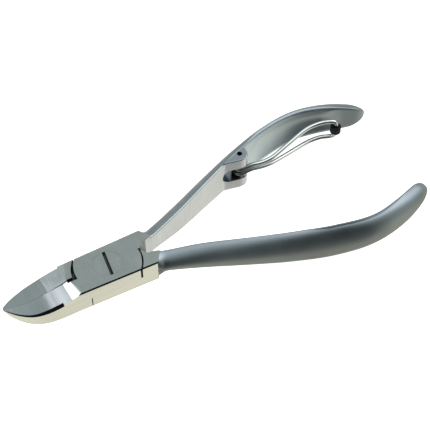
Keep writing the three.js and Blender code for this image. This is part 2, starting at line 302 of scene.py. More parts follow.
def rounded(points, radii, steps=5):
    """A closed outline with each corner replaced by an arc of the radius given for it."""
    out = []
    count = len(points)
    for i, radius in enumerate(radii):
        here = np.array(points[i], float)
        if radius <= 0:
            out.append(tuple(here))
            continue
        before = np.array(points[i - 1], float) - here
        after = np.array(points[(i + 1) % count], float) - here
        before /= np.linalg.norm(before)
        after /= np.linalg.norm(after)
        half = math.acos(max(-1.0, min(1.0, float(before @ after)))) / 2
        reach = radius / math.tan(half)
        middle = here + (before + after) / np.linalg.norm(before + after) * radius / math.sin(half)
        a = here + before * reach - middle
        b = here + after * reach - middle
        sweep = math.pi - 2 * half
        for k in range(steps + 1):
            share = k / steps
            p = (a * math.sin((1 - share) * sweep) + b * math.sin(share * sweep)) / math.sin(sweep)
            out.append(tuple(middle + p))
    return out


# ---------------------------------------------------------------- mesh making

# In metres: points this close are one point, in a new mesh and after the cuts
SAME_POINT = 1e-7
CUT_SLIVER = 2e-6


def new_mesh(name, points, faces):
    """A mesh object from points in millimetres."""
    mesh = bpy.data.meshes.new(name)
    mesh.from_pydata([tuple(c * MM for c in p) for p in points], [], faces)
    bm = bmesh.new()
    bm.from_mesh(mesh)
    bmesh.ops.remove_doubles(bm, verts=bm.verts, dist=SAME_POINT)
    bmesh.ops.recalc_face_normals(bm, faces=bm.faces)
    bm.to_mesh(mesh)
    bm.free()
    obj = bpy.data.objects.new(name, mesh)
    bpy.context.scene.collection.objects.link(obj)
    return obj


def loft(name, rings, close=False):
    """A skin over rings of points, capped at its two ends unless it closes on itself."""
    count = len(rings[0])
    points = [p for ring in rings for p in ring]
    faces = []
    spans = len(rings) if close else len(rings) - 1
    for r in range(spans):
        for s in range(count):
            a, b = r * count + s, r * count + (s + 1) % count
            over = ((r + 1) % len(rings)) * count
            faces.append((a, b, over + (s + 1) % count, over + s))
    if not close:
        faces.append(tuple(range(count))[::-1])
        faces.append(tuple(range((len(rings) - 1) * count, len(rings) * count)))
    return new_mesh(name, points, faces)


def slab(name, outline, low, high):
    """A flat outline between two heights."""
    return loft(name, [[(x, y, z) for x, y in outline] for z in (low, high)])


def lathe(name, profile, x=0.0, y=0.0, z=0.0, sides=ROUND_SIDES):
    """A closed profile of (radius, height) turned about an upright axis."""
    rings = []
    for k in range(sides):
        turn = 2 * math.pi * k / sides
        rings.append([(x + r * math.cos(turn), y + r * math.sin(turn), z + h) for r, h in profile])
    return loft(name, rings, close=True)


def column(name, radius, low, high, x=0.0, y=0.0, sides=ROUND_SIDES):
    """An upright round bar between two heights."""
    return slab(name, arc(x, y, radius, 0, 360, sides)[:-1], low, high)


def combine(obj, other, operation):
    """Joins, cuts or intersects obj with other, which is used up."""
    modifier = obj.modifiers.new("combine", "BOOLEAN")
    modifier.operation = operation
    modifier.object = other
    modifier.solver = "MANIFOLD"
    evaluated = obj.evaluated_get(bpy.context.evaluated_depsgraph_get())
    mesh = bpy.data.meshes.new_from_object(evaluated)
    obj.modifiers.clear()
    old = obj.data
    obj.data = mesh
    bpy.data.meshes.remove(old)
    bpy.data.objects.remove(other)
    if not mesh.polygons:
        raise RuntimeError(f"{obj.name}: nothing left after {operation}")
    return obj


def cut(obj, other):
    return combine(obj, other, "DIFFERENCE")


def join(obj, other):
    return combine(obj, other, "UNION")


def keep(obj, other):
    return combine(obj, other, "INTERSECT")


def mirror_y(obj):
    """Turns obj into its mirror image across the plane y = 0."""
    obj.data.transform(Matrix.Scale(-1, 4, (0, 1, 0)))
    obj.data.flip_normals()
    return obj


def finish_mesh(obj, name, sharp_degrees=24):
    """Names the piece, smooths its curved faces and keeps its flats flat."""
    obj.name = name
    obj.data.name = name
    obj.data.materials.clear()
    bm = bmesh.new()
    bm.from_mesh(obj.data)
    bmesh.ops.remove_doubles(bm, verts=bm.verts, dist=CUT_SLIVER)
    bmesh.ops.dissolve_degenerate(bm, edges=bm.edges, dist=SAME_POINT)
    limit = math.radians(sharp_degrees)
    for edge in bm.edges:
        edge.smooth = edge.is_manifold and edge.calc_face_angle(0) < limit
    for face in bm.faces:
        face.smooth = True
    bm.to_mesh(obj.data)
    bm.free()
    weighted = obj.modifiers.new("weighted", "WEIGHTED_NORMAL")
    weighted.keep_sharp = True
    weighted.weight = 50
    return obj


# ---------------------------------------------------------------- lever shapes

def half_width(x):
    """Half the width of the head and jaws at x."""
    if x < HEAD_FRONT_X:
        return max(LEAST_HALF_WIDTH, along(JAW_STATIONS, 1, x))
    run = (x - HEAD_FRONT_X) / (HEAD_REAR_X - HEAD_FRONT_X)
    return HEAD_FRONT_HALF + (HEAD_REAR_HALF - HEAD_FRONT_HALF) * run


def face_height(x, y):
    """Height of the hollow-ground face."""
    return THICKNESS - along(JAW_STATIONS, 2, x) - FACE_FALL * abs(y)


def body_ring(x):
    """One section of the bar: round edges at the back, chamfers at the top."""
    half = half_width(x)
    low = max(0.0, along(JAW_STATIONS, 5, x)) if x < HEAD_FRONT_X else 0.0
    chamfer = min(TOP_CHAMFER, 0.3 * half)
    curve = min(BACK_EDGE, 0.4 * half, 0.3 * (THICKNESS - low))
    corners = [(-half, low), (half, low), (half, THICKNESS), (-half, THICKNESS)]
    bottom = rounded(corners, [curve, curve, 0, 0], 5)[:12]
    top = rounded(corners, [0, 0, chamfer, chamfer], 1)[2:]
    return [(x, y, z) for y, z in bottom + top]


def head_body():
    """Both levers' head and jaws as one bar, before it is divided."""
    xs = list(np.arange(TIP_X, HEAD_FRONT_X, JAW_STEP))
    xs += list(np.arange(HEAD_FRONT_X, BLOCK_END_X + HEAD_STEP, HEAD_STEP))
    return loft("body", [body_ring(x) for x in xs])


def plate_slab(rear_radius, front_radius, low, high):
    """A lap plate, whose rear and front halves may differ in radius."""
    outline = arc(0, 0, rear_radius, -90, 90, 90)[:-1] + arc(0, 0, front_radius, 90, 270, 90)[:-1]
    if front_radius != rear_radius:
        outline.append((0.0, -front_radius))
    return slab("plate", outline, low, high)


def jaw_region(side):
    """Plan of one jaw's half of the head: side is 1 for the +Y jaw and -1 for the other."""
    slot_edge = RELIEF_SLOT[1] if side > 0 else RELIEF_SLOT[0]
    outline = [
        (-FAR, side * CUT_HALF_GAP),
        (RELIEF_SLOT_END_X, side * CUT_HALF_GAP),
        (RELIEF_SLOT_END_X + RELIEF_SLOT_LEAD, slot_edge),
        (JAW_BLOCK_END_X, slot_edge),
        (JAW_BLOCK_END_X, side * FAR),
        (-FAR, side * FAR),
    ]
    return slab("jaw_region", outline, -FAR, FAR)


def rear_region(side):
    """Plan of the block between the plate and the handle on the side given."""
    outline = [*REAR_BLOCK_EDGE, (HEAD_REAR_X, HEAD_REAR_HALF), (HEAD_REAR_X, FAR), (REAR_BLOCK_START_X, FAR)]
    return slab("rear_region", [(x, side * y) for x, y in outline], -FAR, FAR)


def lever_blank(side):
    """One lever's share of the head: side is the side of its handle."""
    under, over = MID - LAP_HALF_GAP, MID + LAP_HALF_GAP
    if side > 0:
        plate = plate_slab(*TOP_PLATE_RADII, over, FAR)
        pocket = column("pocket", SHOULDER_RADIUS, -FAR, over, sides=POCKET_SIDES)
    else:
        plate = plate_slab(PLATE_RADIUS, PLATE_RADIUS, -FAR, under)
        radius, x, y = FRONT_POCKET
        front = column("front_pocket", radius, under, FAR, x, y, sides=POCKET_SIDES)
        rear = slab("rear_half", [(0, -FAR), (FAR, -FAR), (FAR, FAR), (0, FAR)], -FAR, FAR)
        pocket = join(keep(column("pocket", SHOULDER_RADIUS, under, FAR, sides=POCKET_SIDES), rear), front)
    region = cut(join(jaw_region(-side), rear_region(side)), pocket)
    return keep(head_body(), join(region, plate))


def plane_cutter(points):
    """Everything above the plane through three points."""
    a, b, c = [Vector(p) for p in points]
    n = (b - a).cross(c - a)
    corners = [(-FAR, -FAR), (0.0, -FAR), (0.0, FAR), (-FAR, FAR)]
    low = [(x, y, a.z - (n.x * (x - a.x) + n.y * (y - a.y)) / n.z) for x, y in corners]
    return loft("plane", [low, [(x, y, 2 * FAR) for x, y in corners]])


def hollow_cutter():
    """Everything above the hollow-ground faces of both jaws."""
    rings = []
    half = HOLLOW_FACE_HALF
    for x in np.arange(TIP_X - OVERCUT, HOLLOW_FACE_END_X, JAW_STEP):
        low = [(x, y, face_height(x, y)) for y in (-half, 0.0, half)]
        rings.append(low + [(x, half, FAR), (x, -half, FAR)])
    return loft("hollow", rings)


def bevel_cutter(side, start_x, share):
    """The wedge ground off a jaw's outer edge, with a blunt end at start_x."""
    rings = []
    for x in np.append(np.arange(TIP_X - OVERCUT / 2, start_x, JAW_STEP), start_x):
        half = half_width(max(x, TIP_X))
        inner = half - share * along(JAW_STATIONS, 3, x)
        drop = share * along(JAW_STATIONS, 4, x)
        shoulder = Vector((inner, face_height(x, inner)))
        edge = Vector((half, shoulder.y - drop))
        run = (edge - shoulder).normalized()
        a, b = shoulder - run * 2 * OVERCUT, edge + run * OVERCUT
        rings.append([(x, side * p.x, p.y) for p in (a, b, Vector((b.x + OVERCUT, a.y + 3 * OVERCUT)))])
    return loft("bevel", rings)


def relief_cutter():
    """The wedge-shaped room behind the cutting edges, seen from the back."""
    rings = []
    for x in np.arange(TIP_X - OVERCUT / 2, RELIEF_SLOT_END_X, JAW_STEP):
        half = half_width(max(x, TIP_X))
        back = max(0.0, along(JAW_STATIONS, 5, x))
        reach = min(BACK_RELIEF, 0.5 * half)
        apex = max(face_height(x, 0.0) - EDGE_LAND, back + LEAST_LAND)
        under = back - OVERCUT / 2
        rings.append([(x, -reach, under), (x, reach, under), (x, 0.0, apex)])
    return loft("relief", rings)


def grind_jaw(lever, side, facet, bevel_start_x, bevel_share):
    """Grinds the hollow face, the outer bevel and the relief of one jaw; side is the jaw's side."""
    lever = cut(lever, keep(hollow_cutter(), plane_cutter(facet)))
    lever = cut(lever, bevel_cutter(side, bevel_start_x, bevel_share))
    return cut(lever, relief_cutter())


def handle_ring(x):
    """One section of the +Y handle, square to its centre line: a D with its flat side inwards."""
    root = 1 - smoothstep(x, ROOT_MORPH_START_X, ROOT_MORPH_END_X)
    inner = along(HANDLE_STATIONS, 1, x)
    half = along(HANDLE_STATIONS, 2, x) / 2 + ROOT_SWELL * root
    bulge = along(HANDLE_STATIONS, 3, x)
    power = 2 / (2 + ROOT_SQUARENESS * root)
    fade = 1 - smoothstep(x, HOLLOW_FADE_X, HOLLOW_END_X)
    hollow = smoothstep(x, HOLLOW_START_X, HOLLOW_FULL_X) * fade
    depth = HOLLOW_SHARE * bulge * hollow
    edge = min(INNER_EDGE + SOFT_EDGE * hollow, 0.4 * half)
    rim = min(RIM + SOFT_EDGE * hollow, half / 3)
    section = [(edge - edge * math.cos(t), -half + edge - edge * math.sin(t)) for t in EDGE_TURNS]
    start = math.acos((edge / bulge) ** (1 / power))
    for k in range(1, OUTER_SIDES):
        turn = start * (2 * k / OUTER_SIDES - 1)
        across = bulge * math.cos(turn) ** power
        section.append((across, math.copysign(half * abs(math.sin(turn)) ** power, turn)))
    section += [(edge - edge * math.cos(t), half - edge + edge * math.sin(t)) for t in EDGE_TURNS[::-1]]
    for k in range(INNER_SIDES + 1):
        turn = math.pi * k / INNER_SIDES
        section.append((depth * math.sin(turn) ** 2, (half - rim) * math.cos(turn)))
    run = max(0.0, (x - NOSE_X) / (HANDLE_END_X - NOSE_X))
    share = max(NOSE_END_SHARE, math.sqrt(max(0.0, 1 - run * run)))
    lean = math.atan2(along(HANDLE_STATIONS, 1, x + 0.5) - along(HANDLE_STATIONS, 1, x - 0.5), 1.0)
    ring = []
    for out, rise in section:
        shrunk = bulge / 2 + (out - bulge / 2) * share
        ring.append((x - shrunk * math.sin(lean), inner + shrunk * math.cos(lean), MID + rise * share))
    return ring


def handle():
    """The +Y handle, with finer sections at its root and its rounded end."""
    xs = list(np.arange(HANDLE_START_X, HANDLE_FINE_END_X, HANDLE_FINE_STEP))
    xs += list(np.arange(HANDLE_FINE_END_X, NOSE_X, HANDLE_STEP))
    nose = HANDLE_END_X - NOSE_X
    xs += [NOSE_X + nose * math.sin(math.pi / 2 * k / NOSE_STEPS) for k in range(NOSE_STEPS + 1)]
    return loft("handle", [handle_ring(x) for x in xs])


def lug():
    """The block on the handle's inner side that holds the spring's pin."""
    end_x = PIN_X + LUG_END_RADIUS

    def face(x):
        return along(HANDLE_STATIONS, 1, x) + LUG_ROOT_DEPTH

    outline = [
        (LUG_START_X, face(LUG_START_X)),
        (LUG_SHOULDER_X, face(LUG_START_X) - LUG_SHOULDER_STEP),
        (PIN_X - 1, PIN_Y - LUG_END_RADIUS),
        *arc(PIN_X, PIN_Y, LUG_END_RADIUS, -90, 0, 16),
        (end_x, face(end_x)),
    ]
    block = slab("lug", outline, MID - LUG_HALF_HEIGHT, MID + LUG_HALF_HEIGHT)
    bm = bmesh.new()
    bm.from_mesh(block.data)
    rims = [e for e in bm.edges if abs(e.verts[0].co.z - e.verts[1].co.z) < 1e-6]
    bmesh.ops.bevel(bm, geom=rims, offset=LUG_EDGE * MM, segments=4, profile=0.5, affect="EDGES")
    bm.to_mesh(block.data)
    bm.free()
    return block


def lug_slot():
    """The opening where the spring's eyes sit and its arms swing."""
    low, high = MID - LUG_SLOT_HALF, MID + LUG_SLOT_HALF
    reach = PIN_X + 2 * LUG_POCKET_RADIUS
    left = LUG_SLOT_LEFT_X + LUG_SLOT_HALF
    outline = arc(left, MID, LUG_SLOT_HALF, 90, 270, 24) + [(reach, low), (reach, high)]
    opening = slab("slot", outline, -PIN_Y, LUG_SLOT_REACH - PIN_Y)
    opening.data.transform(Matrix.Rotation(math.pi / 2, 4, "X"))
    return join(opening, column("pocket", LUG_POCKET_RADIUS, low, high, PIN_X, PIN_Y))


def spring_lever():
    """Top plate, near jaw, +Y handle and the lug."""
    lever = grind_jaw(lever_blank(1), -1, NEAR_FACET, *NEAR_BEVEL)
    seat = column("seat", SCREW_HEAD_RADIUS + SCREW_GAP, SCREW_HEAD_Z - SCREW_GAP, FAR)
    shank = column("shank", SCREW_SHANK_RADIUS + SCREW_GAP, -FAR, FAR)
    lever = cut(cut(lever, seat), shank)
    lever = join(lever, handle())
    lever = cut(join(lever, lug()), lug_slot())
    lever = cut(lever, column("pin_hole", PIN_HOLE_RADIUS, -FAR, FAR, PIN_X, PIN_Y, 48))
    return finish_mesh(lever, "spring_lever_steel")


def plain_lever():
    """Bottom plate, far jaw and -Y handle."""
    lever = grind_jaw(lever_blank(-1), 1, FAR_FACET, *FAR_BEVEL)
    lever = cut(lever, column("shank", SCREW_SHANK_RADIUS + SCREW_GAP, -FAR, FAR))
    lever = join(lever, mirror_y(handle()))
    return finish_mesh(lever, "plain_lever_steel")


# ---------------------------------------------------------------- screw, pin, spring and roller

def pivot_screw():
    """A flush slotted head in the top plate, on a shank that ends flush with the back."""
    profile = [
        (AXIS_RADIUS, 0.0),
        (SCREW_SHANK_RADIUS - SCREW_END_EDGE, 0.0),
        (SCREW_SHANK_RADIUS, SCREW_END_EDGE),
        (SCREW_SHANK_RADIUS, SCREW_HEAD_Z),
        (SCREW_HEAD_RADIUS, SCREW_HEAD_Z),
        (SCREW_HEAD_RADIUS, THICKNESS - SCREW_HEAD_EDGE),
        (SCREW_HEAD_RADIUS - SCREW_HEAD_EDGE, THICKNESS),
        (AXIS_RADIUS, THICKNESS),
    ]
    screw = lathe("screw", profile)
    half, reach = SCREW_SLOT_WIDTH / 2, SCREW_HEAD_RADIUS + 1
    corners = [(-half, -reach), (half, -reach), (half, reach), (-half, reach)]
    turned = []
    for x, y in corners:
        c, s = math.cos(SCREW_SLOT_TURN), math.sin(SCREW_SLOT_TURN)
        turned.append((x * c - y * s, x * s + y * c))
    screw = cut(screw, slab("driver_slot", turned, THICKNESS - SCREW_SLOT_DEPTH, FAR))
    return finish_mesh(screw, "pivot_screw_steel")


def spring_pin():
    """A short pin, set back from both ends of its hole."""
    half = PIN_RECESSED_HALF
    profile = [
        (AXIS_RADIUS, -half),
        (PIN_RADIUS - PIN_EDGE, -half),
        (PIN_RADIUS, -half + PIN_EDGE),
        (PIN_RADIUS, half - PIN_EDGE),
        (PIN_RADIUS - PIN_EDGE, half),
        (AXIS_RADIUS, half),
    ]
    return finish_mesh(lathe("pin", profile, PIN_X, PIN_Y, MID, PIN_SIDES), "spring_pin_steel")


def wire_centre_line():
    """Points on the wire's centre line, eye to cross wire to eye."""
    upper = []
    for k in range(EYE_STEPS + 1):
        turn = EYE_LEAVES_AT - EYE_WRAP * (1 - k / EYE_STEPS)
        x, y = PIN_X + EYE_RADIUS * math.cos(turn), PIN_Y + EYE_RADIUS * math.sin(turn)
        upper.append(Vector((x, y, MID + EYE_HALF_SPACING)))
    for x, y in ARM_SHAPE:
        apart = smoothstep(x, SPREAD_START_X, SPREAD_END_X)
        rise = EYE_HALF_SPACING + (LOOP_HALF_SPACING - EYE_HALF_SPACING) * apart
        upper.append(Vector((x, y, MID + rise)))
    bend = LOOP_BEND_SHARE * LOOP_CORNER
    upper.append(Vector((LOOP_X - LOOP_CORNER, LOOP_Y + LOOP_ENTRY_RISE, MID + LOOP_HALF_SPACING)))
    upper.append(Vector((LOOP_X - bend, LOOP_Y + LOOP_BEND_RISE, MID + LOOP_HALF_SPACING - bend)))
    upper.append(Vector((LOOP_X, LOOP_Y, MID + LOOP_HALF_SPACING - LOOP_CORNER)))
    upper.append(Vector((LOOP_X, LOOP_Y, MID + ROLLER_HALF_HEIGHT)))
    lower = [Vector((p.x, p.y, 2 * MID - p.z)) for p in reversed(upper)]
    return upper + lower


def smooth_path(points, per_span):
    """A centripetal Catmull-Rom curve through the points."""
    ends = [points[0] * 2 - points[1], *points, points[-1] * 2 - points[-2]]
    out = []
    for i in range(1, len(ends) - 2):
        p = ends[i - 1:i + 3]
        t = [0.0]
        for a, b in zip(p, p[1:]):
            t.append(t[-1] + max(1e-6, math.sqrt((b - a).length)))
        for k in range(per_span):
            s = t[1] + (t[2] - t[1]) * k / per_span
            a1 = p[0].lerp(p[1], (s - t[0]) / (t[1] - t[0]))
            a2 = p[1].lerp(p[2], (s - t[1]) / (t[2] - t[1]))
            a3 = p[2].lerp(p[3], (s - t[2]) / (t[3] - t[2]))
            b1 = a1.lerp(a2, (s - t[0]) / (t[2] - t[0]))
            b2 = a2.lerp(a3, (s - t[1]) / (t[3] - t[1]))
            out.append(b1.lerp(b2, (s - t[1]) / (t[2] - t[1])))
    return out + [points[-1].copy()]


def tube(name, path, radius, sides):
    """A round wire along a path, with a shallow dish in its first end and its last end rounded off."""
    last = len(path) - 1
    tangents = [(path[min(i + 1, last)] - path[max(i - 1, 0)]).normalized() for i in range(last + 1)]
    normal = tangents[0].orthogonal().normalized()
    rings = []
    for point, tangent in zip(path, tangents):
        normal = (normal - tangent * normal.dot(tangent)).normalized()
        side = tangent.cross(normal)
        rings.append((point, tangent, normal.copy(), side))

    def ring(place, shift, size):
        point, tangent, a, b = place
        turns = [2 * math.pi * k / sides for k in range(sides)]
        return [point + tangent * shift + (a * math.cos(t) + b * math.sin(t)) * size for t in turns]

    edge = WIRE_END_SHARE * radius
    bends = [math.pi / 2 * k / 4 for k in range(4)]
    start = [ring(rings[0], -edge * math.sin(t), radius - edge * (1 - math.sin(t))) for t in bends]
    end = [ring(rings[-1], edge * math.sin(t), radius - edge * (1 - math.cos(t))) for t in bends[1:]]
    return loft(name, start + [ring(r, 0, radius) for r in rings] + end)


def wire_spring():
    """One bent wire: two eyes on the pin, two arms and a cross wire."""
    path = smooth_path(wire_centre_line(), WIRE_STEPS)
    wire = tube("wire", path, WIRE_RADIUS, WIRE_SIDES)
    return finish_mesh(wire, "spring_wire_polished", WIRE_SHARP_DEGREES)


def spring_roller():
    """A short sleeve on the cross wire, slightly waisted, with soft edges."""
    bore, half, chamfer = WIRE_RADIUS + ROLLER_CLEARANCE, ROLLER_HALF_HEIGHT, ROLLER_BORE_CHAMFER
    profile = [(bore, -half + chamfer), (bore + chamfer, -half)]
    for k in range(ROLLER_STEPS + 1):
        level = 2 * k / ROLLER_STEPS - 1
        corner = max(0.0, abs(level) - ROLLER_FLAT_SHARE) / (1 - ROLLER_FLAT_SHARE)
        waist = ROLLER_WAIST * math.cos(math.pi * level / 2) ** 2
        radius = ROLLER_RADIUS - waist - ROLLER_CORNER_DEPTH * corner**2
        profile.append((radius, half * level * (1 - ROLLER_CORNER_SINK * corner)))
    profile += [(bore + chamfer, half), (bore, half - chamfer)]
    sleeve = lathe("roller", profile, LOOP_X, LOOP_Y, MID, ROLLER_SIDES)
    return finish_mesh(sleeve, "spring_roller_sleeve", ROLLER_SHARP_DEGREES)


# ---------------------------------------------------------------- materials

# Noise scales are per metre
CLOUD_SCALE = 90.0
ROUGH_CLOUD_SCALE = 207.0
GRAIN_SHADES = (0.93, 1.04)
GRAIN_DEPTH = 0.00002
WORN_TINT = (0.85, 0.86, 0.86)
WORN_SHARE = 0.12
SPECKS = {"scale": 9000.0, "detail": 3.0}
LONG_LINES = {"scale": 3000.0, "detail": 4.0, "stretch": (0.03, 1.0, 1.0)}
CROSS_LINES = {"scale": 3000.0, "detail": 4.0, "stretch": (1.0, 0.05, 0.05)}
# Steel finishes of the levers: tints, roughness, grain, bump and, if any, ramps of painted shade
FINISHES = {
    "satin": ((0.385, 0.415, 0.405), (0.425, 0.455, 0.445), (0.24, 0.31), SPECKS, 0.25),
    "blasted": (
        (0.30, 0.335, 0.36),
        (0.33, 0.365, 0.39),
        (0.38, 0.44),
        SPECKS,
        0.3,
        # Painted shade: darker towards the bottom of the handles and towards their ends
        [("Z", 8.5, -1.5, 0.36), ("X", 80.0, 98.0, 0.72)],
    ),
    "hollow": (
        (0.55, 0.63, 0.71),
        (0.59, 0.67, 0.75),
        (0.36, 0.42),
        SPECKS,
        0.3,
        # Painted shade: darker towards the end of the leaf's hollow
        [("X", 57.0, 82.0, 0.57)],
    ),
    "polished": ((0.63, 0.63, 0.61), (0.67, 0.67, 0.645), (0.08, 0.13), LONG_LINES, 0.12),
    "brushed": ((0.54, 0.56, 0.64), (0.59, 0.61, 0.69), (0.18, 0.26), CROSS_LINES, 0.5),
    "ground": ((0.385, 0.415, 0.43), (0.425, 0.455, 0.47), (0.12, 0.17), CROSS_LINES, 0.08),
    "edge": ((0.40, 0.41, 0.42), (0.46, 0.47, 0.47), (0.06, 0.1), LONG_LINES, 0.1),
    # Painted shade: near black, for the walls of holes, gaps and recesses
    "painted_cavity_shade": ((0.02, 0.02, 0.022), (0.04, 0.04, 0.042), (0.5, 0.7), SPECKS, 0.4),
    # Painted shade: a dark tint for the faces between the two plates
    "painted_lap_shade": ((0.16, 0.17, 0.17), (0.22, 0.23, 0.23), (0.3, 0.4), CROSS_LINES, 0.4),
}
# Slack for faces that lie on a limit, in millimetres
SKIN = 0.05
HOLE_SKIN = 0.02
SLOT_SKIN = 0.01
# Where the finishes change, in millimetres
LAP_SPAN_X = (-13.4, 11.2)
LAP_WALL_RADIUS = 9.0
JAW_ROOT_X = -6.0
GROUND_LOW_Z = 3.0
CROTCH_START_X = 11.0
CROTCH_HALF = 3.2
SHANK_END_X = 55.7
SHANK_FACE_DEPTH = 0.45
SLOT_INSIDE = 0.2
# Limits on the Z part of a unit normal
FLAT = 0.985
UPRIGHT = 0.3
SLOT_CURVED = 0.1
SHANK_SIDE = 0.9
# A face counts as inward when its normal points this much towards the other handle
INWARD = 0.7
# Least Z part and greatest Y part of a hollow face's normal
GROUND_NORMAL = (0.7, 0.25)
# Least Z part and least Y part of a chamfer's normal
EDGE_NORMAL = (0.4, 0.2)


def new_material(name):
    """A material with its node tree and its main shader."""
    material = bpy.data.materials.new(name)
    material.use_nodes = True
    tree = material.node_tree
    return material, tree, tree.nodes["Principled BSDF"]


def node(tree, kind, **values):
    """A node with its properties and, by socket name, its input values."""
    made = tree.nodes.new(kind)
    for key, value in values.items():
        socket = key.replace("_", " ")
        if socket in made.inputs:
            made.inputs[socket].default_value = value
        else:
            setattr(made, key, value)
    return made


def noise(tree, scale, detail=4.0, stretch=(1.0, 1.0, 1.0)):
    """Noise in the piece's own coordinates, stretched along chosen axes; scale is per metre."""
    place = node(tree, "ShaderNodeTexCoord")
    mapping = node(tree, "ShaderNodeMapping")
    mapping.inputs["Scale"].default_value = stretch
    texture = node(tree, "ShaderNodeTexNoise", Scale=scale, Detail=detail)
    tree.links.new(place.outputs["Object"], mapping.inputs["Vector"])
    tree.links.new(mapping.outputs["Vector"], texture.inputs["Vector"])
    return texture.outputs["Fac"]


def ranged(tree, value, start, end, low, high, kind="LINEAR"):
    """Maps start to end onto low to high, and holds the ends."""
    mapped = node(tree, "ShaderNodeMapRange", interpolation_type=kind)
    mapped.inputs["From Min"].default_value = start
    mapped.inputs["From Max"].default_value = end
    mapped.inputs["To Min"].default_value = low
    mapped.inputs["To Max"].default_value = high
    tree.links.new(value, mapped.inputs["Value"])
    return mapped.outputs["Result"]


def spread(tree, value, low, high):
    """Maps the middle of a noise's values, where nearly all of them lie, onto a range."""
    return ranged(tree, value, 0.3, 0.7, low, high)


def multiply(tree, colour, factor):
    """A colour times a value."""
    product = node(tree, "ShaderNodeMix", data_type="RGBA", blend_type="MULTIPLY")
    product.inputs["Factor"].default_value = 1.0
    tree.links.new(colour, product.inputs["A"])
    tree.links.new(factor, product.inputs["B"])
    return product.outputs["Result"]


def blend(tree, factor, a, b):
    """Two flat tints mixed by a value."""
    mixed = node(tree, "ShaderNodeMix", data_type="RGBA")
    mixed.inputs["A"].default_value = (*a, 1)
    mixed.inputs["B"].default_value = (*b, 1)
    tree.links.new(factor, mixed.inputs["Factor"])
    return mixed.outputs["Result"]


def roughen(tree, shader, height, strength, depth):
    """A bump on the surface, depth in metres."""
    bumps = node(tree, "ShaderNodeBump", Strength=strength)
    bumps.inputs["Distance"].default_value = depth
    tree.links.new(height, bumps.inputs["Height"])
    tree.links.new(bumps.outputs["Normal"], shader.inputs["Normal"])


def steel(name, dark, light, roughness, grain, bump, shade_ramps=()):
    """A steel finish: cloudy tint, worn edges, uneven roughness, a grain in the surface and any painted
    shade.

    dark and light are the two tints, roughness a (low, high) pair, grain the noise() settings of its
    fine lines or specks, and bump how deep they are. The ramps, each (axis, start, end, factor), are
    painted shade: along that axis, between start and end in mm, the tint darkens to factor.
    """
    material, tree, shader = new_material(name)
    shader.inputs["Metallic"].default_value = 1.0
    cloud = noise(tree, CLOUD_SCALE, 5.0)
    fine = noise(tree, **grain)
    tint = blend(tree, spread(tree, cloud, 0.0, 1.0), dark, light)
    colour = multiply(tree, tint, spread(tree, fine, *GRAIN_SHADES))
    for axis, start, end, factor in shade_ramps:
        place = node(tree, "ShaderNodeSeparateXYZ")
        tree.links.new(node(tree, "ShaderNodeTexCoord").outputs["Object"], place.inputs["Vector"])
        fade = ranged(tree, place.outputs[axis], start * MM, end * MM, 1.0, factor, "SMOOTHSTEP")
        colour = multiply(tree, colour, fade)
    pointiness = node(tree, "ShaderNodeNewGeometry").outputs["Pointiness"]
    worn = node(tree, "ShaderNodeMix", data_type="RGBA")
    worn.inputs["B"].default_value = (*WORN_TINT, 1)
    tree.links.new(ranged(tree, pointiness, 0.53, 0.62, 0.0, WORN_SHARE), worn.inputs["Factor"])
    tree.links.new(colour, worn.inputs["A"])
    tree.links.new(worn.outputs["Result"], shader.inputs["Base Color"])
    rough = spread(tree, noise(tree, ROUGH_CLOUD_SCALE, 6.0), *roughness)
    tree.links.new(rough, shader.inputs["Roughness"])
    roughen(tree, shader, fine, bump, GRAIN_DEPTH)
    return material


def make_materials():
    """The levers' steel finishes by name, painted shade among them."""
    return {name: steel(f"{name}_steel", *finish) for name, finish in FINISHES.items()}


def head_finish(x, y, z, n):
    """The finish of a face of the head or a jaw, from its centre and its normal."""
    upright = abs(n.z) < UPRIGHT
    between_plates = LAP_SPAN_X[0] < x < LAP_SPAN_X[1] and SKIN < z < THICKNESS - SKIN
    within = between_plates and abs(y) < half_width(x) - SKIN
    if n.z > FLAT and z > THICKNESS - SKIN:
        return "satin"
    # Painted shade: near black on upright walls between the plates, at the pocket rim and in the jaws' slot
    if within and upright and (math.hypot(x, y) > LAP_WALL_RADIUS or x < JAW_ROOT_X):
        return "painted_cavity_shade"
    # Painted shade: a dark tint on the other faces hidden between the plates
    if within and (upright or abs(n.z) > FLAT):
        return "painted_lap_shade"
    facing = n.z > GROUND_NORMAL[0] and abs(n.y) < GROUND_NORMAL[1]
    if facing and x < HEAD_FRONT_X + 1.0 and z > GROUND_LOW_Z:
        return "ground"
    if x < HEAD_REAR_X - 1.0 and n.z > EDGE_NORMAL[0] and abs(n.y) > EDGE_NORMAL[1]:
        return "edge"
    if x > CROTCH_START_X and abs(y) < CROTCH_HALF:
        return "blasted"
    return "polished"


def handle_finish(x, y, z, n, side):
    """The finish of a face of a handle; out is how far it lies outside the handle's inner face."""
    out = y * side - along(HANDLE_STATIONS, 1, min(x, HANDLE_END_X))
    shank = x < SHANK_END_X
    # Painted shade: near black on the walls of the pin hole
    if abs(n.z) < UPRIGHT and math.hypot(x - PIN_X, y - PIN_Y) < PIN_HOLE_RADIUS + HOLE_SKIN:
        return "painted_cavity_shade"
    in_slot = shank and abs(z - MID) < LUG_SLOT_HALF + SLOT_SKIN and out < -SLOT_INSIDE
    if in_slot and abs(n.z) > SLOT_CURVED:
        return "satin"
    if n.y * side < -INWARD:
        return "brushed" if shank else "hollow"
    if x < LUG_START_X and out < SHANK_FACE_DEPTH and abs(n.z) < SHANK_SIDE:
        return "polished"
    return "blasted"


